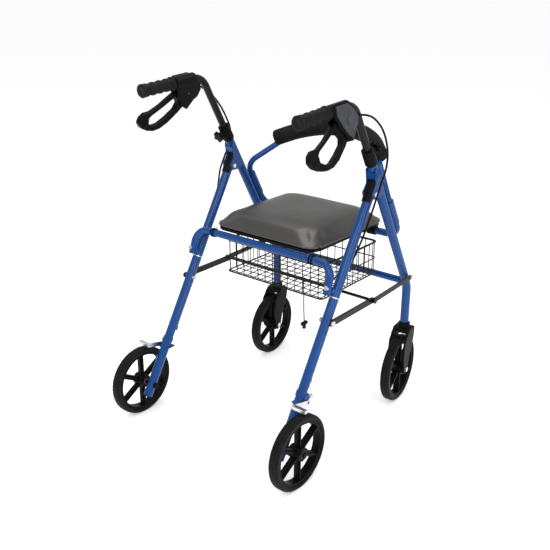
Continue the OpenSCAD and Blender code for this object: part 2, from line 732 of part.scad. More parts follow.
// Place of a point that is drawn below the grip's axis and rolled with the housing
function rolled_at(x, z) =
    let (y = -z * sin(brake_roll), h = z * cos(brake_roll))
    [x * cos(grip_drop) - h * sin(grip_drop), leg_y + y,
        grip_axis_z + x * sin(grip_drop) + h * cos(grip_drop)];
function cable_start(i) = [for (s = [4, 15, 22])
    rolled_at(cable_exit.x + s * sin(exit_tilt), cable_exit.z + s * cos(exit_tilt))
        - handle_set[i] * front_down];
// Upper cable of each side, from its housing down to the leg's outer side
cable_left = concat(cable_start(0), [[-6, 244.5, 857], [14, 247, 846], [40, 248, 827],
    [68, 250, 797], [90, 252, 765], [104, 253, 738], [107, 254, 712], [100, 254, 688], [84, 253.5, 668]]);
cable_right = concat(cable_start(1), [[12, 247, 840], [46, 249, 828], [78, 250, 803], [97, 251, 776],
    [106, 253, 745], [106, 254, 716], [98, 254, 690], [84, 253.5, 668]]);
module brake_cable_left() { color(BLACK) cord(smooth(cable_left, 4), cable_d); }
module brake_cable_right() { color(BLACK) mirror([0, 1, 0]) cord(smooth(cable_right, 4), cable_d); }

// Lower cables, from beside the fold pivot down the front of the rear legs to their stops
// A place beside a rear leg: its height, its angle from the outer side to the front, its distance
function beside_leg(z, angle, off) =
    on_rear(z, leg_y) + off * [-rear_out.x * sin(angle), cos(angle), -rear_out.z * sin(angle)];
cable_leg = concat([[80, 254, 660], [62, 254, 628], beside_leg(590, 12, 20), beside_leg(548, 40, 18),
    beside_leg(510, 66, 17), beside_leg(474, 86, 16.3)],
    [for (z = [434, 392, 350, 306, 262]) beside_leg(z, 90, 16.3)]);
module leg_cables() {
    color(BLACK) both_sides() cord(smooth(concat(cable_leg, [stop_at + 6 * rear_up]), 3), cable_d);
}

// ---------- Seat, basket and back ----------

seat_x0 = 98 - seat_depth / 2;
board_z = seat_bar_z + rest_d / 2 + 0.1;
board_h = 6;
clip_y = [-148, 148];
module rounded_slab(x0, w, d, z, h, r) {
    translate([x0, 0, z]) linear_extrude(h) {
        translate([r, -d / 2]) square([w - 2 * r, d]);
        translate([0, -d / 2 + r]) square([w, d - 2 * r]);
        for (x = [r, w - r]) for (y = [-d / 2 + r, d / 2 - r]) translate([x, y]) circle(r = r);
    }
}
module seat_board() {
    color(BLACK) difference() {
        union() {
            rounded_slab(seat_x0 + 8, seat_depth - 16, 326, board_z, board_h, 40);
            for (y = clip_y) {
                translate([front_bar_x, y - 12, seat_bar_z]) rotate([-90, 0, 0])
                    cylinder(d = bar_d + 6, h = 24);
                translate([front_bar_x - 9, y - 12, seat_bar_z]) cube([18, 24, board_z - seat_bar_z + 1]);
            }
        }
        for (y = clip_y) translate([front_bar_x, y - 13, seat_bar_z]) rotate([-90, 0, 0])
            cylinder(d = bar_d + 2 * run, h = 26);
    }
}
module seat_cushion() {
    color(BLACK) rounded_slab(seat_x0, seat_depth, seat_w, board_z + board_h, cushion_h, 46);
}

basket_x = [-20, 231];
basket_w = 326;
basket_z = [369, 466];
basket_t = 3;
module basket() {
    color(BLACK) difference() {
        union() {
            translate([basket_x[0], -basket_w / 2, basket_z[0]])
                cube([basket_x[1] - basket_x[0], basket_w, basket_z[1] - basket_z[0]]);
            for (y = [-80, 80]) {
                translate([front_bar_x, y - 4, seat_bar_z]) rotate([-90, 0, 0])
                    cylinder(d = bar_d + 6, h = 8);
                translate([basket_x[1] - basket_t, y - 4, basket_z[1] - 5]) cube([basket_t, 8, 22]);
            }
        }
        translate([basket_x[0] + basket_t, -basket_w / 2 + basket_t, basket_z[0] + basket_t])
            cube([basket_x[1] - basket_x[0] - 2 * basket_t, basket_w - 2 * basket_t, basket_z[1]]);
        for (y = [-80, 80]) translate([front_bar_x, y - 5, seat_bar_z]) rotate([-90, 0, 0])
            cylinder(d = bar_d + 2 * run, h = 10);
    }
}

// Hoop of the backrest: up from the sockets, then forward and round
hoop_low = on_socket(socket_split_z + 2, leg_y);
hoop_elbow = on_socket(620, leg_y);
foam_end = [205, 172, 702];
hoop_side = [244, 130, 721];
hoop_mid = [290, 60, 735];
function flip(v) = [v.x, -v.y, v.z];
module backrest_tube() {
    half = [hoop_low, hoop_elbow, hoop_side, hoop_mid];
    color(BLUE) pipe([for (v = half) v, for (i = [3 : -1 : 0]) flip(half[i])], 36, hoop_d, wall);
}
module backrest_foam() {
    half = [foam_end, hoop_side, hoop_mid];
    color(BLACK) difference() {
        pipe([for (v = half) v, for (i = [2 : -1 : 0]) flip(half[i])], 36, 44);
        pipe([for (v = [hoop_low, hoop_elbow, hoop_side, hoop_mid]) v,
            for (v = [hoop_mid, hoop_side, hoop_elbow, hoop_low]) flip(v)], 36, hoop_d);
    }
}

front_leg_left();
front_leg_right();
front_crossbar();
front_seat_bar();
backrest_sockets();
pivot_brackets();
pivot_bolts();
handle_collars();
stem_bushes();
rear_leg_left();
rear_leg_right();
rear_leg_caps();
rear_seat_bar();
bar_saddles();
frame_bolts();
rear_axles();
seat_rests();
brake_brackets();
rear_stays();
cross_rod();
front_stays();
front_stay_bolts();
pull_cord();
cord_toggle();
rear_left_rim();
rear_left_tyre();
rear_right_rim();
rear_right_tyre();
front_left_rim();
front_left_tyre();
front_right_rim();
front_right_tyre();
wheel_bushes();
fork_left();
fork_right();
caster_pins_left();
caster_pins_right();
handle_tube_left();
handle_tube_right();
grip_left();
grip_right();
brake_housing_left();
brake_housing_right();
housing_cover_left();
housing_cover_right();
brake_lever_left();
brake_lever_right();
clamp_knob_left();
clamp_knob_right();
brake_arm_left();
brake_arm_right();
brake_cable_left();
brake_cable_right();
leg_cables();
seat_board();
seat_cushion();
basket();
backrest_tube();
backrest_foam();
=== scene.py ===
"""Looks of the folding walker: camera, materials, soft pieces, wires and cables.

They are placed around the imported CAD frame, in its own metres.
"""

import json
import math

import bpy
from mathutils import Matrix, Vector, noise


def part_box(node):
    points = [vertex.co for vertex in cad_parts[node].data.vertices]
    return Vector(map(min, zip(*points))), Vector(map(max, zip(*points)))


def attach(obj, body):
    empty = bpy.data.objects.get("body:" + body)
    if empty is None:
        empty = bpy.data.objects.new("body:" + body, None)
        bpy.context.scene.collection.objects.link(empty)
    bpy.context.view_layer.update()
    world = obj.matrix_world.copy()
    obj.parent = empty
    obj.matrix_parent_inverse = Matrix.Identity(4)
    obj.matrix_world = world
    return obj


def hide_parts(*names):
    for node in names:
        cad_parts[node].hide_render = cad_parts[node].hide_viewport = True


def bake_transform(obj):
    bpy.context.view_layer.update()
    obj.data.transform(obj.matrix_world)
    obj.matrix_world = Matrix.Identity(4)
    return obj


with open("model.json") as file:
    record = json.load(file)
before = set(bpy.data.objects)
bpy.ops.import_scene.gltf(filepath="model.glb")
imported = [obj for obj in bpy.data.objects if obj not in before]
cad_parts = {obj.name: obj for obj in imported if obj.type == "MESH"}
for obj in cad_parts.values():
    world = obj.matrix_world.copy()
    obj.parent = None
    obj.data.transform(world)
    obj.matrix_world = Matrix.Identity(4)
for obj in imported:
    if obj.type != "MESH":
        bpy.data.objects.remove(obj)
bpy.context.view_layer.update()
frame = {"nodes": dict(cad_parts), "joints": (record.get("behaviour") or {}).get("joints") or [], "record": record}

# ---------------------------------------------------------------- places, in metres, as in the CAD
LEG_Y = 0.230
AXLE_Z = 0.095
REAR_AXLE_X = -0.254
STEM_X = 0.283
SEAT_X = (-0.072, 0.268)
SEAT_HALF_W = 0.175
BASKET_X = (-0.018, 0.229)
BASKET_HALF_W = 0.161
BASKET_Z = (0.371, 0.463)
FRONT_BAR = (0.224, 0.494)
REAR_BAR = (-0.064, 0.494)
FRONT_LEAN = math.radians(29)
REAR_LEAN = math.radians(31)
FRONT_UP = Vector((-math.sin(FRONT_LEAN), 0, math.cos(FRONT_LEAN)))
REAR_UP = Vector((math.sin(REAR_LEAN), 0, math.cos(REAR_LEAN)))
REAR_OUT = Vector((-math.cos(REAR_LEAN), 0, math.sin(REAR_LEAN)))


def rear_leg(z):
    """The place on a rear leg's axis at height z, seen from the side."""
    return Vector((REAR_AXLE_X + (z - AXLE_Z) * math.tan(REAR_LEAN), 0, z))


def joint(name):
    return next(j for j in frame["joints"] if j["name"] == name)


# ---------------------------------------------------------------- camera
CAMERA_AT = Vector((-1.4736, -1.2087, 1.1517))
CAMERA_YAW = math.radians(39.5)
CAMERA_PITCH = math.radians(-21.68)
CAMERA_LENS = 50.92
SENSOR_WIDTH = 36


def make_camera():
    data = bpy.data.cameras.new("camera")
    data.sensor_width = SENSOR_WIDTH
    data.lens = CAMERA_LENS
    camera = bpy.data.objects.new("camera", data)
    bpy.context.scene.collection.objects.link(camera)
    forward = Vector((math.cos(CAMERA_PITCH) * math.cos(CAMERA_YAW),
                      math.cos(CAMERA_PITCH) * math.sin(CAMERA_YAW), math.sin(CAMERA_PITCH)))
    camera.location = CAMERA_AT
    camera.rotation_euler = forward.to_track_quat("-Z", "Y").to_euler()
    bpy.context.scene.camera = camera


make_camera()


# ---------------------------------------------------------------- materials
def new_material(name, color, roughness, metallic=0.0, coat=0.0, coat_roughness=0.05,
                 specular=0.5):
    m = bpy.data.materials.new(name)
    m.use_nodes = True
    shader = m.node_tree.nodes["Principled BSDF"]
    shader.inputs["Base Color"].default_value = (*color, 1)
    shader.inputs["Roughness"].default_value = roughness
    shader.inputs["Metallic"].default_value = metallic
    shader.inputs["Coat Weight"].default_value = coat
    shader.inputs["Coat Roughness"].default_value = coat_roughness
    shader.inputs["Specular IOR Level"].default_value = specular
    return m


def object_noise(m, scale, detail=3.0, kind="ShaderNodeTexNoise"):
    nodes, links = m.node_tree.nodes, m.node_tree.links
    place = nodes.new("ShaderNodeTexCoord")
    tex = nodes.new(kind)
    tex.inputs["Scale"].default_value = scale
    if kind == "ShaderNodeTexNoise":
        tex.inputs["Detail"].default_value = detail
    links.new(place.outputs["Object"], tex.inputs["Vector"])
    return tex


def vary_color(m, tex, low, high):
    """The base colour goes from low to high with the texture."""
    nodes, links = m.node_tree.nodes, m.node_tree.links
    ramp = nodes.new("ShaderNodeValToRGB")
    ramp.color_ramp.elements[0].position = 0.35
    ramp.color_ramp.elements[1].position = 0.65
    ramp.color_ramp.elements[0].color = (*low, 1)
    ramp.color_ramp.elements[1].color = (*high, 1)
    links.new(tex.outputs[0], ramp.inputs["Fac"])
    links.new(ramp.outputs["Color"], nodes["Principled BSDF"].inputs["Base Color"])


def vary_roughness(m, tex, low, high):
    nodes, links = m.node_tree.nodes, m.node_tree.links
    span = nodes.new("ShaderNodeMapRange")
    span.inputs["To Min"].default_value = low
    span.inputs["To Max"].default_value = high
    links.new(tex.outputs[0], span.inputs["Value"])
    links.new(span.outputs["Result"], nodes["Principled BSDF"].inputs["Roughness"])


def bump(m, tex, strength, distance):
    nodes, links = m.node_tree.nodes, m.node_tree.links
    b = nodes.new("ShaderNodeBump")
    b.inputs["Strength"].default_value = strength
    b.inputs["Distance"].default_value = distance
    links.new(tex.outputs[0], b.inputs["Height"])
    links.new(b.outputs["Normal"], nodes["Principled BSDF"].inputs["Normal"])


def powder_coat():
    m = new_material("blue_powder_coat", (0.003, 0.046, 0.190), 0.32, coat=0.3,
                     coat_roughness=0.06, specular=0.12)
    vary_color(m, object_noise(m, 9), (0.0025, 0.042, 0.175), (0.0035, 0.050, 0.205))
    bump(m, object_noise(m, 900, 1), 0.05, 0.0002)
    return m


def black_paint():
    m = new_material("black_paint", (0.004, 0.004, 0.004), 0.34, coat=0.08, coat_roughness=0.15,
                     specular=0.15)
    vary_roughness(m, object_noise(m, 40), 0.25, 0.38)
    bump(m, object_noise(m, 900, 1), 0.06, 0.0002)
    return m


def moulded_plastic(name, color, rough):
    m = new_material(name, color, rough, specular=0.06)
    darker, lighter = tuple(c * 0.85 for c in color), tuple(c * 1.2 for c in color)
    vary_color(m, object_noise(m, 30), darker, lighter)
    bump(m, object_noise(m, 1800, 2), 0.12, 0.0002)
    return m


def zinc_plating():
    m = new_material("zinc_plating", (0.62, 0.63, 0.66), 0.3, metallic=1.0)
    vary_color(m, object_noise(m, 120), (0.55, 0.56, 0.6), (0.7, 0.7, 0.72))
    vary_roughness(m, object_noise(m, 260), 0.22, 0.4)
    return m


def tyre_rubber():
    m = new_material("tyre_rubber", (0.0055, 0.005, 0.005), 0.55, specular=0.1)
    vary_color(m, object_noise(m, 60), (0.0045, 0.0042, 0.0042), (0.0075, 0.007, 0.007))
    bump(m, object_noise(m, 1200, 3), 0.2, 0.0003)
    return m


def grip_rubber():
    m = new_material("grip_rubber", (0.006, 0.0045, 0.0045), 0.5, specular=0.14)
    vary_color(m, object_noise(m, 70), (0.0045, 0.0036, 0.0036), (0.0075, 0.0062, 0.006))
    bump(m, object_noise(m, 1500, 2), 0.25, 0.0003)
    return m


def seat_vinyl():
    """Black vinyl with a fine pebbled grain."""
    m = new_material("seat_vinyl", (0.014, 0.012, 0.010), 0.38, specular=1.0)
    vary_roughness(m, object_noise(m, 35), 0.32, 0.44)
    bump(m, object_noise(m, 520, 2, "ShaderNodeTexVoronoi"), 0.22, 0.0004)
    return m


def foam_skin():
    m = new_material("foam_skin", (0.0055, 0.0045, 0.004), 0.7, specular=0.12)
    vary_color(m, object_noise(m, 50), (0.0045, 0.0036, 0.0036), (0.0075, 0.0062, 0.006))
    bump(m, object_noise(m, 700, 4), 0.35, 0.0006)
    return m


def braided_cord():
    m = new_material("braided_cord", (0.015, 0.015, 0.016), 0.8)
    bump(m, object_noise(m, 2500, 1, "ShaderNodeTexVoronoi"), 0.5, 0.0004)
    return m


BLUE = powder_coat()
PAINT = black_paint()
PLASTIC = moulded_plastic("black_plastic", (0.0042, 0.0038, 0.0038), 0.42)
GREY = moulded_plastic("grey_plastic", (0.055, 0.057, 0.064), 0.42)
BUSH = moulded_plastic("bush_plastic", (0.12, 0.12, 0.13), 0.5)
ZINC = zinc_plating()
TYRE = tyre_rubber()
GRIP = grip_rubber()
VINYL = seat_vinyl()
FOAM = foam_skin()
CORD = braided_cord()
BY_SLOT = {"blue_paint": BLUE, "black_metal": PAINT, "zinc": ZINC, "black_plastic": PLASTIC,
           "grey_plastic": GREY, "grip_rubber": GRIP, "tyre": TYRE, "vinyl": VINYL, "foam": FOAM,
           "cord": CORD, "bush": BUSH}


# The brake brackets are painted with the legs, and the rear axles show black at their ends.
OWN_COAT = {"brake_brackets": BLUE, "rear_axles": PLASTIC}


def paint_frame():
    """Each CAD node takes the material of its slot, or its own coat."""
    for part in frame["record"]["subparts"]:
        o = frame["nodes"][part["node"]]
        o.data.materials.clear()
        o.data.materials.append(OWN_COAT.get(part["node"], BY_SLOT[part["material_slot"]]))


paint_frame()


# ---------------------------------------------------------------- shapes that repeat
def mesh_object(name, verts, faces, material, smooth=True):
    mesh = bpy.data.meshes.new(name)
    mesh.from_pydata([tuple(v) for v in verts], [], faces)
    mesh.update()
    if smooth:
        mesh.polygons.foreach_set("use_smooth", [True] * len(mesh.polygons))
    mesh.materials.append(material)
    o = bpy.data.objects.new(name, mesh)
    bpy.context.scene.collection.objects.link(o)
    return o


def smooth_path(points, steps):
    """Points of a Catmull-Rom curve through the given ones."""
    p = [Vector(q) for q in points]
    out = []
    for i in range(len(p) - 1):
        a, b, c, d = p[max(i - 1, 0)], p[i], p[i + 1], p[min(i + 2, len(p) - 1)]
        for k in range(steps):
            t = k / steps
            out.append(0.5 * (2 * b + (c - a) * t + (2 * a - 5 * b + 4 * c - d) * t * t
                              + (3 * b - a - 3 * c + d) * t ** 3))
    return out + [p[-1]]


def tube_parts(points, radius, sides, start=0):
    """Vertices and faces of a closed tube. radius is a number, or one for each point."""
    p = [Vector(q) for q in points]
    n = len(p)
    radii = radius if isinstance(radius, (list, tuple)) else [radius] * n
    side = None
    verts, faces = [], []
    for i in range(n):
        t = (p[min(i + 1, n - 1)] - p[max(i - 1, 0)]).normalized()
        if side is None:
            side = t.orthogonal().normalized()
        side = (side - t * side.dot(t)).normalized()
        up = t.cross(side)
        for k in range(sides):
            a = 2 * math.pi * k / sides
            verts.append(p[i] + radii[i] * (math.cos(a) * side + math.sin(a) * up))
    for i in range(n - 1):
        for k in range(sides):
            a, b = start + i * sides + k, start + i * sides + (k + 1) % sides
            faces.append((a, b, b + sides, a + sides))
    faces.append(tuple(start + k for k in reversed(range(sides))))
    faces.append(tuple(start + (n - 1) * sides + k for k in range(sides)))
    return verts, faces


def tubes(name, runs, material, sides=10):
    """One object of several tubes. Each run is (points, radius)."""
    verts, faces = [], []
    for points, radius in runs:
        v, f = tube_parts(points, radius, sides, len(verts))
        verts += v
        faces += f
    return mesh_object(name, verts, faces, material)


def lathe(name, profile, origin, axis, material, segments=72, ripple=None):
    """Turns a closed profile of (distance along the axis, radius) about the axis.

    ripple(step, index, along, radius) gives a point's changed radius.
    """
    axis = Vector(axis).normalized()
    u = axis.orthogonal().normalized()
    v = axis.cross(u)
    verts, faces = [], []
    n = len(profile)
    for s in range(segments):
        a = 2 * math.pi * s / segments
        ray = math.cos(a) * u + math.sin(a) * v
        for k, (along, r) in enumerate(profile):
            if ripple:
                r = ripple(s, k, along, r)
            verts.append(Vector(origin) + axis * along + ray * r)
    for s in range(segments):
        t = (s + 1) % segments
        for k in range(n):
            j = (k + 1) % n
            faces.append((s * n + k, s * n + j, t * n + j, t * n + k))
    return mesh_object(name, verts, faces, material)


def flip(points):
    """The same points on the walker's other side."""
    return [Vector((q[0], -q[1], q[2])) for q in points]


def put(piece, body, slot, *nodes):
    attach(piece, body)
    if nodes:
        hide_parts(*nodes)
    return piece


# ---------------------------------------------------------------- hanging cord
CORD_ROUTE = [(0.082, -0.027, 0.359), (0.082, -0.027, 0.350), (0.0825, -0.027, 0.335),
              (0.083, -0.0275, 0.315), (0.0825, -0.028, 0.295), (0.082, -0.029, 0.275),
              (0.082, -0.030, 0.255), (0.082, -0.031, 0.238)]
CORD_D = 0.003
KNOT_AT = (0.082, -0.027, 0.362)
KNOT_R = 0.0052
KNOT_PITCH = 0.0022


def knot_turns():
    """A turn and a half of the cord round the cross rod."""
    angles = [math.pi * k / 10 for k in range(-5, 26)]
    return [Vector((KNOT_AT[0] + KNOT_R * math.cos(a),
                    KNOT_AT[1] + KNOT_PITCH * (a / math.pi - 1.5),
                    KNOT_AT[2] + KNOT_R * math.sin(a))) for a in angles]


def make_pull_cord():
    route = smooth_path(CORD_ROUTE, 4)
    cord = tubes("pull_cord_line", [(route, CORD_D / 2)], CORD)
    put(cord, "rear_stay_pair", "cord", "pull_cord")
    put(tubes("pull_cord_knot", [(knot_turns(), CORD_D / 2)], CORD), "rear_stay_pair", "cord")


make_pull_cord()


# ---------------------------------------------------------------- wheels
TYRE_W = 0.026
RIM_R = 0.083
WHEEL_R = 0.095
TREAD_BLOCKS = 64
BLOCK_STEPS = 4
GROOVE = 0.0011
GROOVE_WALLS = (0.0042, 0.0039, 0.0031, 0.0028)
TREAD_DEPTH = 0.003
TYRE_EDGE = 0.0065


def tyre_profile():
    """Half-round shoulders and a nearly flat tread with two thin grooves."""
    half = TYRE_W / 2
    shoulder = []
    for k in range(7):
        a = math.pi / 2 * k / 6
        shoulder.append((half - TYRE_EDGE + TYRE_EDGE * math.cos(a),
                         WHEEL_R - TYRE_EDGE + TYRE_EDGE * math.sin(a)))
    right = [(half, RIM_R), (half, WHEEL_R - TYRE_EDGE - 0.001)] + shoulder
    groove = list(zip(GROOVE_WALLS, (WHEEL_R, WHEEL_R - GROOVE, WHEEL_R - GROOVE, WHEEL_R)))
    top = right + groove
    left = [(-x, r) for x, r in reversed(top)]
    return top + left


def make_tyre(where):
    j = joint(where + "_spin")

    def tread(s, k, along, r):
        outside = abs(along) > GROOVE_WALLS[0] and r > WHEEL_R - TREAD_DEPTH
        return r - GROOVE if s % BLOCK_STEPS == 0 and outside else r

    tyre = lathe("tyre_" + where, tyre_profile(), j["pos_m"], j["axis"], TYRE,
                 TREAD_BLOCKS * BLOCK_STEPS, tread)
    put(tyre, where + "_wheel", "tyre", where + "_tyre")


for end in ("rear", "front"):
    for side_name in ("left", "right"):
        make_tyre(f"{end}_{side_name}")


# ---------------------------------------------------------------- seat
def rounded_outline(x0, x1, half_w, r, steps=10):
    """Corners of a rounded rectangle, in order, as (x, y)."""
    out = []
    corners = ((x1 - r, half_w - r, 0), (x0 + r, half_w - r, 90),
               (x0 + r, -half_w + r, 180), (x1 - r, -half_w + r, 270))
    for cx, cy, a0 in corners:
        for k in range(steps + 1):
            a = math.radians(a0 + 90 * k / steps)
            out.append((cx + r * math.cos(a), cy + r * math.sin(a)))
    return out


SEAT_R = 0.046
CUSHION_INSET = 0.006
VOXEL = 0.007
PUFF = 0.010
CROWN = 0.010
EDGE_DROP = 0.016
SHOULDER = 0.085
SHOULDER_R = 0.075
PIPING_UP = 0.006
PIPING_R = 0.0016
REST_LOOP_R = 0.0111
REST_WIRE = 0.0015


def cushion_block(z0, z1):
    """Closed block in the cushion's outline, a little smaller than the cushion."""
    outline = rounded_outline(SEAT_X[0] + CUSHION_INSET, SEAT_X[1] - CUSHION_INSET,
                              SEAT_HALF_W - CUSHION_INSET, SEAT_R - CUSHION_INSET)
    n = len(outline)
    verts = [(x, y, z0) for x, y in outline] + [(x, y, z1) for x, y in outline]
    faces = [tuple(reversed(range(n))), tuple(range(n, 2 * n))]
    faces += [(k, (k + 1) % n, n + (k + 1) % n, n + k) for k in range(n)]
    return mesh_object("seat_pad", verts, faces, VINYL)


def apply_modifiers(o):
    bpy.context.view_layer.update()
    dg = bpy.context.evaluated_depsgraph_get()
    mesh = bpy.data.meshes.new_from_object(o.evaluated_get(dg))
    old = o.data
    o.modifiers.clear()
    o.data = mesh
    bpy.data.meshes.remove(old)


def remesh(o, size):
    m = o.modifiers.new("remesh", "REMESH")
    m.mode = "VOXEL"
    m.voxel_size = size
    m.use_smooth_shade = True
    apply_modifiers(o)


def inflate(o, pin_below, limit):
    """Cloth under pressure, pinned on its flat underside. No point moves further than limit."""
    rest = [v.co.copy() for v in o.data.vertices]
    pinned = o.vertex_groups.new(name="flat")
    pinned.add([v.index for v in o.data.vertices if v.co.z < pin_below], 1.0, "REPLACE")
    m = o.modifiers.new("cloth", "CLOTH")
    s = m.settings
    s.quality = 5
    s.mass = 0.3
    s.tension_stiffness = 12
    s.compression_stiffness = 12
    s.shear_stiffness = 6
    s.bending_stiffness = 1.5
    s.use_pressure = True
    s.uniform_pressure_force = 4
    s.vertex_group_mass = "flat"
    s.effector_weights.gravity = 0
    m.point_cache.frame_start = 1
    m.point_cache.frame_end = 20
    for f in range(1, 21):
        bpy.context.scene.frame_set(f)
    bpy.context.view_layer.update()
    dg = bpy.context.evaluated_depsgraph_get()
    moved = o.evaluated_get(dg).to_mesh()
    new = [v.co.copy() for v in moved.vertices]
    o.evaluated_get(dg).to_mesh_clear()
    o.modifiers.clear()
    bpy.context.scene.frame_set(1)
    for v, a, b in zip(o.data.vertices, rest, new):
        step = b - a
        v.co = a + step * min(1, limit / max(step.length, 1e-9))
    o.vertex_groups.clear()


def edge_distance(x, y):
    """How far a point is inside the cushion's outline, seen from above, with broad corners."""
    middle, half_d = (SEAT_X[0] + SEAT_X[1]) / 2, (SEAT_X[1] - SEAT_X[0]) / 2
    dx, dy = half_d - abs(x - middle), SEAT_HALF_W - abs(y)
    if dx < SHOULDER_R and dy < SHOULDER_R:
        return SHOULDER_R - math.hypot(SHOULDER_R - dx, SHOULDER_R - dy)
    return min(dx, dy)


def make_cushion():
    lo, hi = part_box("seat_cushion")
    z0, z1 = lo[2], hi[2] - PUFF
    pad = cushion_block(z0, z1)
    remesh(pad, VOXEL)
    inflate(pad, z0 + 0.004, PUFF)
    middle = (SEAT_X[0] + SEAT_X[1]) / 2
    half_d = (SEAT_X[1] - SEAT_X[0]) / 2
    for v in pad.data.vertices:
        h = (v.co.z - z0) / (z1 - z0)
        if h <= 0.15:
            continue
        u, w = (v.co.x - middle) / half_d, v.co.y / SEAT_HALF_W
        dome = max(0.0, 1 - u ** 4) * max(0.0, 1 - w ** 4)
        v.co.z += CROWN * dome * min(h, 1)
        fall = 1 - min(1.0, max(0.0, edge_distance(v.co.x, v.co.y) / SHOULDER))
        v.co.z -= EDGE_DROP * fall ** 1.7 * min(h, 1)
        # A few slow dents, as stuffed vinyl has
        v.co.z += 0.0012 * noise.noise(v.co * 14) * min(h, 1) * dome
    smooth = pad.modifiers.new("smooth", "SMOOTH")
    smooth.factor = 0.5
    smooth.iterations = 6
    fine = pad.modifiers.new("fine", "SUBSURF")
    fine.levels = fine.render_levels = 1
    apply_modifiers(pad)
    pad.data.polygons.foreach_set("use_smooth", [True] * len(pad.data.polygons))
    put(pad, "seat", "vinyl", "seat_cushion")
    return pad


def side_distance(pad, x, y, z, reach=0.05):
    """Where the pad's side is, going from outside towards its middle at height z."""
    centre = Vector(((SEAT_X[0] + SEAT_X[1]) / 2, 0, z))
    out = Vector((x, y, z)) - centre
    start = centre + out * (1 + reach / out.length)
    hit, at, normal, _ = pad.ray_cast(start, -out.normalized())
    return at if hit else Vector((x, y, z))


def make_seat_seams(pad):
    """Piping round the cushion's side, near its lower edge."""
    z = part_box("seat_cushion")[0][2] + PIPING_UP
    outline = rounded_outline(*SEAT_X, SEAT_HALF_W, SEAT_R, 8)
    ring = [side_distance(pad, x, y, z) for x, y in outline]
    ring = smooth_path(ring + [ring[0]], 3)
    put(tubes("seat_piping_low", [(ring, PIPING_R)], VINYL, 8), "seat", "vinyl")


def make_rests():
    """Wire loops round the rear bar that the seat comes down on."""
    runs = []
    for y in (0.158, 0.166, -0.158, -0.166):
        loop = [(REAR_BAR[0] + REST_LOOP_R * math.cos(a), y,
                 REAR_BAR[1] + REST_LOOP_R * math.sin(a))
                for a in (2 * math.pi * k / 28 for k in range(29))]
        runs.append((loop, REST_WIRE))
    put(tubes("seat_rest_loops", runs, PLASTIC, 8), "rear_frame", "black_plastic", "seat_rests")


seat_pad = make_cushion()
make_seat_seams(seat_pad)
make_rests()


# ---------------------------------------------------------------- backrest
FOAM_R = 0.022
FOAM_END = 0.45
FOAM_LINE = [(0.203, 0.174, 0.701), (0.222, 0.152, 0.711), (0.246, 0.127, 0.721),
             (0.268, 0.095, 0.729), (0.284, 0.055, 0.735), (0.289, 0.0, 0.7365)]


def make_foam():
    half = [Vector(p) for p in FOAM_LINE]
    line = smooth_path(half + flip(reversed(half[:-1])), 6)
    n = len(line)
    radii = []
    for i in range(n):
        near = min(i, n - 1 - i)
        radii.append(FOAM_R * (0.80 + 0.20 * min(1, near / 2) ** 0.5))
    first = line[0] + (line[0] - line[1]).normalized() * 0.003
    last = line[-1] + (line[-1] - line[-2]).normalized() * 0.003
    line = [first] + line + [last]
    radii = [FOAM_R * FOAM_END] + radii + [FOAM_R * FOAM_END]
    foam = tubes("foam_roll", [(line, radii)], FOAM, 40)
    put(foam, "backrest", "foam", "backrest_foam")


make_foam()


# ---------------------------------------------------------------- basket of wire
RIM_WIRE = 0.003
THIN_WIRE = 0.0013
CELL = 0.024
CORNER_R = 0.012
WIRE_BEND = 0.004
HOOK_R = 0.0122
HOOK_WIRE = 0.0024


def rect_path(x0, x1, half_w, z, r):
    ring = [(x, y, z) for x, y in rounded_outline(x0, x1, half_w, r, 4)]
    return ring + [ring[0]]


def spread(low, high, cell):
    count = max(1, round((high - low) / cell))
    return [low + (high - low) * k / count for k in range(count + 1)]


def make_basket():
    x0, x1 = BASKET_X
    z0, z1 = BASKET_Z
    w = BASKET_HALF_W
    runs = [(rect_path(x0, x1, w, z1, CORNER_R), RIM_WIRE),
            (rect_path(x0, x1, w, (z0 + z1) / 2, CORNER_R), THIN_WIRE * 1.3),
            (rect_path(x0, x1, w, z0 + 0.002, CORNER_R), THIN_WIRE * 1.6)]
    foot = z0 + WIRE_BEND
    for x in spread(x0 + CORNER_R, x1 - CORNER_R, CELL):
        runs.append(([(x, -w, z1), (x, -w, foot), (x, -w + WIRE_BEND, z0), (x, w - WIRE_BEND, z0),
                      (x, w, foot), (x, w, z1)], THIN_WIRE))
    for y in spread(-w + CORNER_R, w - CORNER_R, CELL):
        runs.append(([(x0, y, z1), (x0, y, foot), (x0 + WIRE_BEND, y, z0), (x1 - WIRE_BEND, y, z0),
                      (x1, y, foot), (x1, y, z1)], THIN_WIRE))
    for y in (-0.08, 0.08):
        bend = [(FRONT_BAR[0] + HOOK_R * math.cos(a), y, FRONT_BAR[1] + HOOK_R * math.sin(a))
                for a in [math.radians(-60 + 250 * k / 16) for k in range(17)]]
        runs.append(([(x1, y, z1 - 0.03), (x1, y, z1)] + bend, HOOK_WIRE))
    basket = tubes("wire_basket", runs, PAINT, 8)
    put(basket, "basket", "black_metal", "basket")


make_basket()


# ---------------------------------------------------------------- grips
# How far each handle is raised along its leg
HANDLE_SET = {"left": 0.010, "right": -0.017}
HANDLE_RISE = 0.543
HANDLE_TOP = Vector((STEM_X - HANDLE_RISE * math.tan(FRONT_LEAN), LEG_Y, 0.880))
GRIP_END = Vector((-0.222, LEG_Y, 0.866))
GRIP_LEN = 0.100
GRIP_R = 0.01425
GRIP_BORE = 0.0096
CLOSED = 0.0003


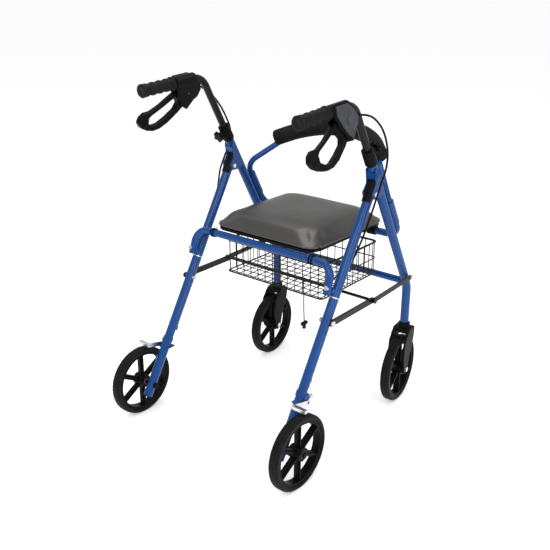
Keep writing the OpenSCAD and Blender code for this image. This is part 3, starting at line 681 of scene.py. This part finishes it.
def make_grip(name, side):
    start = Vector((GRIP_END.x, side * LEG_Y, GRIP_END.z)) + FRONT_UP * HANDLE_SET[name]
    axis = Vector((HANDLE_TOP.x - GRIP_END.x, 0, HANDLE_TOP.z - GRIP_END.z)).normalized()
    profile = [(-0.0010, CLOSED), (-0.0012, 0.011), (-0.0008, GRIP_R + 0.0015),
               (0.001, GRIP_R + 0.0027), (0.003, GRIP_R + 0.0025)]
    count = 150
    for k in range(count + 1):
        along = 0.005 + (GRIP_LEN - 0.012) * k / count
        fingers = 0.0011 * math.cos(2 * math.pi * (along - 0.012) / 0.0225)
        ribs = 0.0004 * math.cos(2 * math.pi * along / 0.0034)
        profile.append((along, GRIP_R + 0.0006 + fingers + ribs))
    profile += [(GRIP_LEN - 0.006, GRIP_R + 0.0005), (GRIP_LEN - 0.005, GRIP_R + 0.003),
                (GRIP_LEN - 0.0035, GRIP_R + 0.0035), (GRIP_LEN - 0.001, GRIP_R + 0.003),
                (GRIP_LEN, GRIP_R), (GRIP_LEN, GRIP_BORE), (0.003, GRIP_BORE), (0.003, CLOSED)]
    grip = lathe("hand_grip_" + name, profile, start, axis, GRIP, 64)
    put(grip, "handle_" + name, "grip_rubber", "grip_" + name)


make_grip("left", 1)
make_grip("right", -1)


# ---------------------------------------------------------------- moulded pieces
# Name in the CAD, body, size of the mesh's cells, rounds of smoothing
MOULDED = (("brake_lever", "lever", 0.0013, 9), ("brake_housing", "handle", 0.0014, 4),
           ("fork", "caster", 0.0016, 4))


def softened(node, body, cell, rounds):
    """A moulded piece: the CAD solid with its edges rounded off."""
    o = bpy.data.objects.new(node + "_moulded", frame["nodes"][node].data.copy())
    bpy.context.scene.collection.objects.link(o)
    o.data.materials.clear()
    o.data.materials.append(PLASTIC)
    remesh(o, cell)
    m = o.modifiers.new("smooth", "SMOOTH")
    m.factor = 0.5
    m.iterations = rounds
    apply_modifiers(o)
    o.data.polygons.foreach_set("use_smooth", [True] * len(o.data.polygons))
    put(o, body, "black_plastic", node)


for side_name in ("left", "right"):
    for node, body, cell, rounds in MOULDED:
        softened(f"{node}_{side_name}", f"{body}_{side_name}", cell, rounds)


# ---------------------------------------------------------------- brake cables
CABLE_R = 0.0025
CABLE_START = (0.004, 0.015, 0.022)
BRAKE_ROLL = math.radians(18)
EXIT_TILT = math.radians(80)
STOP_Z = 0.236
ARM_Z = 0.187
WIRE_R = 0.0008
UPPER = {
    "left": [(-0.006, 0.2445, 0.857), (0.014, 0.247, 0.846), (0.040, 0.248, 0.827),
             (0.068, 0.250, 0.797), (0.090, 0.252, 0.765), (0.104, 0.253, 0.738),
             (0.107, 0.254, 0.712), (0.100, 0.254, 0.688), (0.084, 0.2535, 0.668)],
    "right": [(0.012, 0.247, 0.840), (0.046, 0.249, 0.828), (0.078, 0.250, 0.803),
              (0.097, 0.251, 0.776), (0.106, 0.253, 0.745), (0.106, 0.254, 0.716),
              (0.098, 0.254, 0.690), (0.084, 0.2535, 0.668)]}


def beside_leg(z, degrees, off):
    """A place beside the left rear leg, at an angle from its outer side round to its front."""
    turn = math.radians(degrees)
    return rear_leg(z) + Vector((0, LEG_Y, 0)) + off * (
        Vector((0, math.cos(turn), 0)) - REAR_OUT * math.sin(turn))


CABLE_OFF = 0.0163
LOWER = [Vector((0.084, 0.2535, 0.668)), Vector((0.080, 0.254, 0.660)),
         Vector((0.062, 0.254, 0.628)), beside_leg(0.590, 12, 0.020), beside_leg(0.548, 40, 0.018),
         beside_leg(0.510, 66, 0.017), beside_leg(0.474, 86, CABLE_OFF)]
LOWER += [beside_leg(z, 90, CABLE_OFF) for z in (0.434, 0.392, 0.350, 0.306, 0.262)]


def cable_exit_points(name):
    """First points of a cable, in the housing's exit, as the CAD rolls them about the grip."""
    drop = math.atan((HANDLE_TOP.z - GRIP_END.z) / (HANDLE_TOP.x - GRIP_END.x))
    axis_z = HANDLE_TOP.z - HANDLE_TOP.x * math.tan(drop)
    out = []
    for s in CABLE_START:
        x, z = -0.042 + s * math.sin(EXIT_TILT), -0.030 + s * math.cos(EXIT_TILT)
        h = z * math.cos(BRAKE_ROLL)
        at = Vector((x * math.cos(drop) - h * math.sin(drop), LEG_Y - z * math.sin(BRAKE_ROLL),
                     axis_z + x * math.sin(drop) + h * math.cos(drop)))
        out.append(at + FRONT_UP * HANDLE_SET[name])
    return out


def make_cables():
    for name, side in (("left", 1), ("right", -1)):
        route = [Vector(p) for p in cable_exit_points(name) + UPPER[name]]
        if side < 0:
            route = flip(route)
        upper = tubes("cable_upper_" + name, [(smooth_path(route, 5), CABLE_R)], PLASTIC, 12)
        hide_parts("brake_cable_" + name)
        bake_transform(upper)
        stop = rear_leg(STOP_Z) - REAR_OUT * 0.017 + REAR_UP * 0.006
        low = LOWER + [Vector((stop.x, LEG_Y, stop.z))]
        if side < 0:
            low = flip(low)
        lower = tubes("cable_lower_" + name, [(smooth_path(low, 4), CABLE_R)], PLASTIC, 12)
        if side > 0:
            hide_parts("leg_cables")
        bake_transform(lower)
        # Bare wire from the stop to the brake arm
        arm = rear_leg(ARM_Z) + Vector((0.014 + 0.014, 0, 0.012))
        wire = [Vector((stop.x, side * LEG_Y, stop.z)) - REAR_UP * 0.012,
                Vector((arm.x, side * 0.248, arm.z))]
        put(tubes("brake_wire_" + name, [(wire, WIRE_R)], ZINC, 8), "rear_frame", "zinc")


make_cables()


# ---------------------------------------------------------------- floor, lights
FLOOR_HALF = 40
FLOOR_CORNERS = [(-FLOOR_HALF, -FLOOR_HALF, 0), (FLOOR_HALF, -FLOOR_HALF, 0),
                 (FLOOR_HALF, FLOOR_HALF, 0), (-FLOOR_HALF, FLOOR_HALF, 0)]
FLOOR_GLOW = 0.3
WORLD_STRENGTH = 0.72


def make_stage():
    pale = new_material("floor", (0.93, 0.93, 0.93), 0.9, specular=0.1)
    shader = pale.node_tree.nodes["Principled BSDF"]
    shader.inputs["Emission Color"].default_value = (1, 1, 1, 1)
    shader.inputs["Emission Strength"].default_value = FLOOR_GLOW
    floor = mesh_object("floor", FLOOR_CORNERS, [(0, 1, 2, 3)], pale, smooth=False)
    world = bpy.data.worlds.new("studio")
    bpy.context.scene.world = world
    world.use_nodes = True
    world.node_tree.nodes["Background"].inputs["Color"].default_value = (1, 1, 1, 1)
    world.node_tree.nodes["Background"].inputs["Strength"].default_value = WORLD_STRENGTH
    bpy.context.scene.view_settings.view_transform = "Standard"


def area_light(name, at, target, size, power):
    data = bpy.data.lights.new(name, "AREA")
    data.shape = "RECTANGLE"
    data.size, data.size_y = size
    data.energy = power
    o = bpy.data.objects.new(name, data)
    bpy.context.scene.collection.objects.link(o)
    o.location = at
    o.rotation_euler = (Vector(target) - Vector(at)).to_track_quat("-Z", "Y").to_euler()


make_stage()
area_light("key", (-2.2, -1.0, 2.6), (0, 0, 0.4), (1.6, 1.6), 34)
area_light("top", (0.2, 0.2, 3.2), (0, 0, 0.3), (2.4, 2.4), 36)
area_light("strip", (-0.6, -2.6, 1.4), (0, 0, 0.5), (0.5, 2.0), 22)
